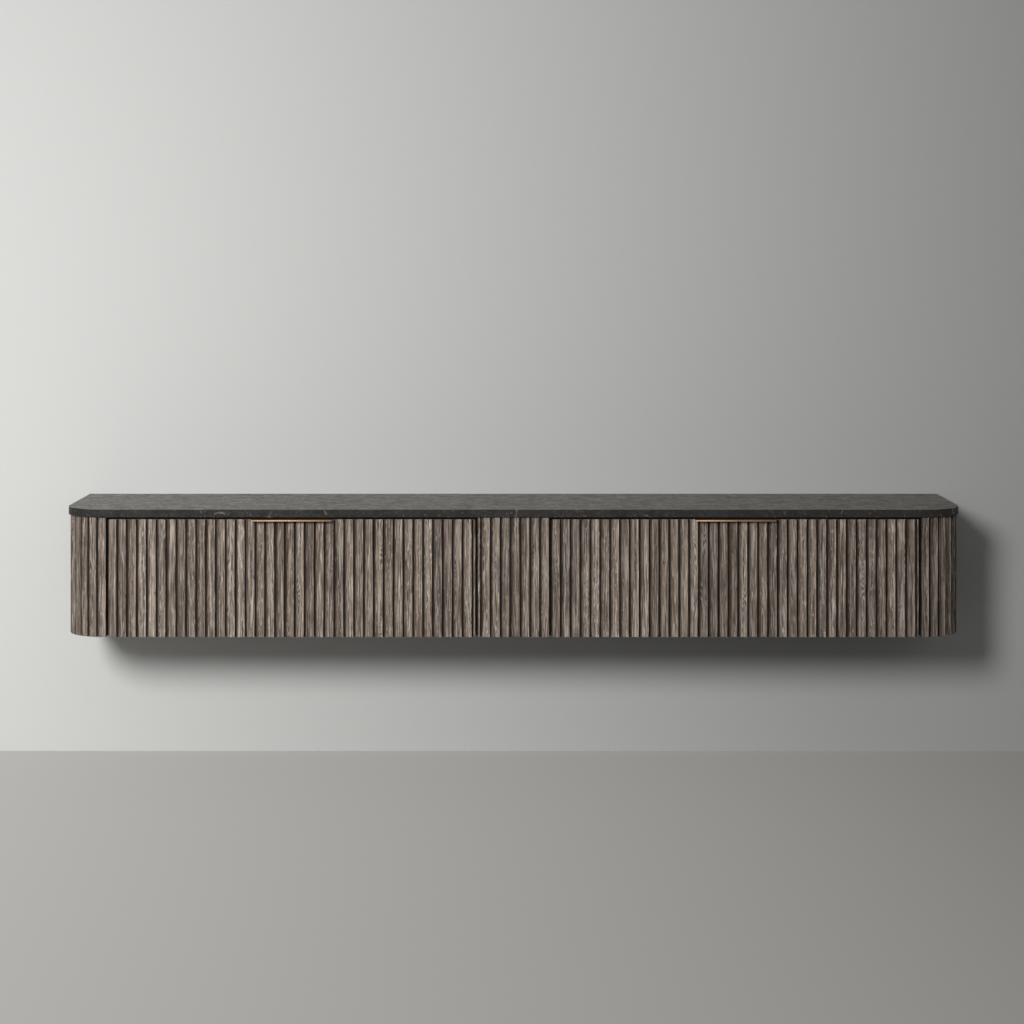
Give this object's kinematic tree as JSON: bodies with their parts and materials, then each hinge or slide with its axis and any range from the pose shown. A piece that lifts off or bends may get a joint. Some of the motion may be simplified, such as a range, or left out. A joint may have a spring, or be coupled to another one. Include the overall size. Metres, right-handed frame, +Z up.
{
  "type": "floating media console",
  "caption": "Wall-hung media cabinet with a stone top, rounded ends and reeded oak fronts that drop down on flap stays beside a fixed middle panel.",
  "frame": {"origin": "centre of the wall rail's back face, on the wall, where the console hangs", "axes": "+X to the right along the wall, +Y into the wall, +Z up; the fronts face -Y"},
  "size_m": [2.489, 0.472, 0.353],
  "materials": {
    "stone": "dark honed limestone with a slightly rough arris",
    "slat_oak": "weathered grey-brown oak, open grain",
    "board_oak": "dark stained oak veneer, matte",
    "rail_ply": "bare birch plywood",
    "brass": "brushed, lightly aged",
    "steel": "nickel-plated",
    "plastic": "black, matte"
  },
  "bodies": {
    "cabinet": {"stone_top": "stone", "top_panel": "board_oak", "bottom_panel": "board_oak", "back_panel": "board_oak", "side_panel_left": "board_oak", "side_panel_right": "board_oak", "divider_left": "board_oak", "divider_right": "board_oak", "cable_grommet_left": "plastic", "cable_grommet_right": "plastic", "wall_rail": "rail_ply", "hanging_rail": "rail_ply", "lower_batten": "rail_ply", "middle_slats": "slat_oak", "middle_board": "board_oak", "end_slats_left": "slat_oak", "end_slats_right": "slat_oak", "end_board_left": "board_oak", "end_board_right": "board_oak", "hinge_leaf_carcass_left": "steel", "hinge_leaf_carcass_right": "steel", "hinge_pin_left": "steel", "hinge_pin_right": "steel", "magnet_catch_left_outer": "plastic", "magnet_catch_left_inner": "plastic", "magnet_catch_right_outer": "plastic", "magnet_catch_right_inner": "plastic", "stay_housing_left_outer": "plastic", "stay_housing_left_inner": "plastic", "stay_housing_right_outer": "plastic", "stay_housing_right_inner": "plastic"},
    "front_left": {"front_slats_left": "slat_oak", "front_board_left": "board_oak", "edge_pull_left": "brass", "hinge_leaf_front_left": "steel", "catch_strike_left_outer": "steel", "catch_strike_left_inner": "steel", "stay_bracket_left_outer": "steel", "stay_bracket_left_inner": "steel"},
    "front_right": {"front_slats_right": "slat_oak", "front_board_right": "board_oak", "edge_pull_right": "brass", "hinge_leaf_front_right": "steel", "catch_strike_right_outer": "steel", "catch_strike_right_inner": "steel", "stay_bracket_right_outer": "steel", "stay_bracket_right_inner": "steel"},
    "arm_left_outer": {"stay_arm_left_outer": "steel"},
    "arm_left_inner": {"stay_arm_left_inner": "steel"},
    "arm_right_outer": {"stay_arm_right_outer": "steel"},
    "arm_right_inner": {"stay_arm_right_inner": "steel"},
    "link_left_outer": {"stay_link_left_outer": "steel"},
    "link_left_inner": {"stay_link_left_inner": "steel"},
    "link_right_outer": {"stay_link_right_outer": "steel"},
    "link_right_inner": {"stay_link_right_inner": "steel"}
  },
  "joints": [
    {"name": "front_left_drop", "type": "hinge", "parent": "cabinet", "child": "front_left", "pos_m": [-0.61125, -0.425, -0.219], "axis": [1, 0, 0], "range_deg": [0, 90]},
    {"name": "front_right_drop", "type": "hinge", "parent": "cabinet", "child": "front_right", "pos_m": [0.61125, -0.425, -0.219], "axis": [1, 0, 0], "range_deg": [0, 90]},
    {"name": "arm_left_outer_turn", "type": "hinge", "parent": "cabinet", "child": "arm_left_outer", "pos_m": [-1.0974, -0.35, -0.05], "axis": [1, 0, 0], "range_deg": [0, 90]},
    {"name": "arm_left_inner_turn", "type": "hinge", "parent": "cabinet", "child": "arm_left_inner", "pos_m": [-0.1251, -0.35, -0.05], "axis": [1, 0, 0], "range_deg": [0, 90]},
    {"name": "arm_right_outer_turn", "type": "hinge", "parent": "cabinet", "child": "arm_right_outer", "pos_m": [1.0974, -0.35, -0.05], "axis": [1, 0, 0], "range_deg": [0, 90]},
    {"name": "arm_right_inner_turn", "type": "hinge", "parent": "cabinet", "child": "arm_right_inner", "pos_m": [0.1251, -0.35, -0.05], "axis": [1, 0, 0], "range_deg": [0, 90]},
    {"name": "link_left_outer_turn", "type": "hinge", "parent": "front_left", "child": "link_left_outer", "pos_m": [-1.0938, -0.413, -0.109], "axis": [1, 0, 0], "range_deg": [-90, 0]},
    {"name": "link_left_inner_turn", "type": "hinge", "parent": "front_left", "child": "link_left_inner", "pos_m": [-0.1287, -0.413, -0.109], "axis": [1, 0, 0], "range_deg": [-90, 0]},
    {"name": "link_right_outer_turn", "type": "hinge", "parent": "front_right", "child": "link_right_outer", "pos_m": [1.0938, -0.413, -0.109], "axis": [1, 0, 0], "range_deg": [-90, 0]},
    {"name": "link_right_inner_turn", "type": "hinge", "parent": "front_right", "child": "link_right_inner", "pos_m": [0.1287, -0.413, -0.109], "axis": [1, 0, 0], "range_deg": [-90, 0]}
  ],
  "couplings": [
    {"joint": "arm_left_outer_turn", "follows": "front_left_drop", "ratio": 1},
    {"joint": "arm_left_inner_turn", "follows": "front_left_drop", "ratio": 1},
    {"joint": "link_left_outer_turn", "follows": "front_left_drop", "ratio": -1},
    {"joint": "link_left_inner_turn", "follows": "front_left_drop", "ratio": -1},
    {"joint": "arm_right_outer_turn", "follows": "front_right_drop", "ratio": 1},
    {"joint": "arm_right_inner_turn", "follows": "front_right_drop", "ratio": 1},
    {"joint": "link_right_outer_turn", "follows": "front_right_drop", "ratio": -1},
    {"joint": "link_right_inner_turn", "follows": "front_right_drop", "ratio": -1}
  ]
}
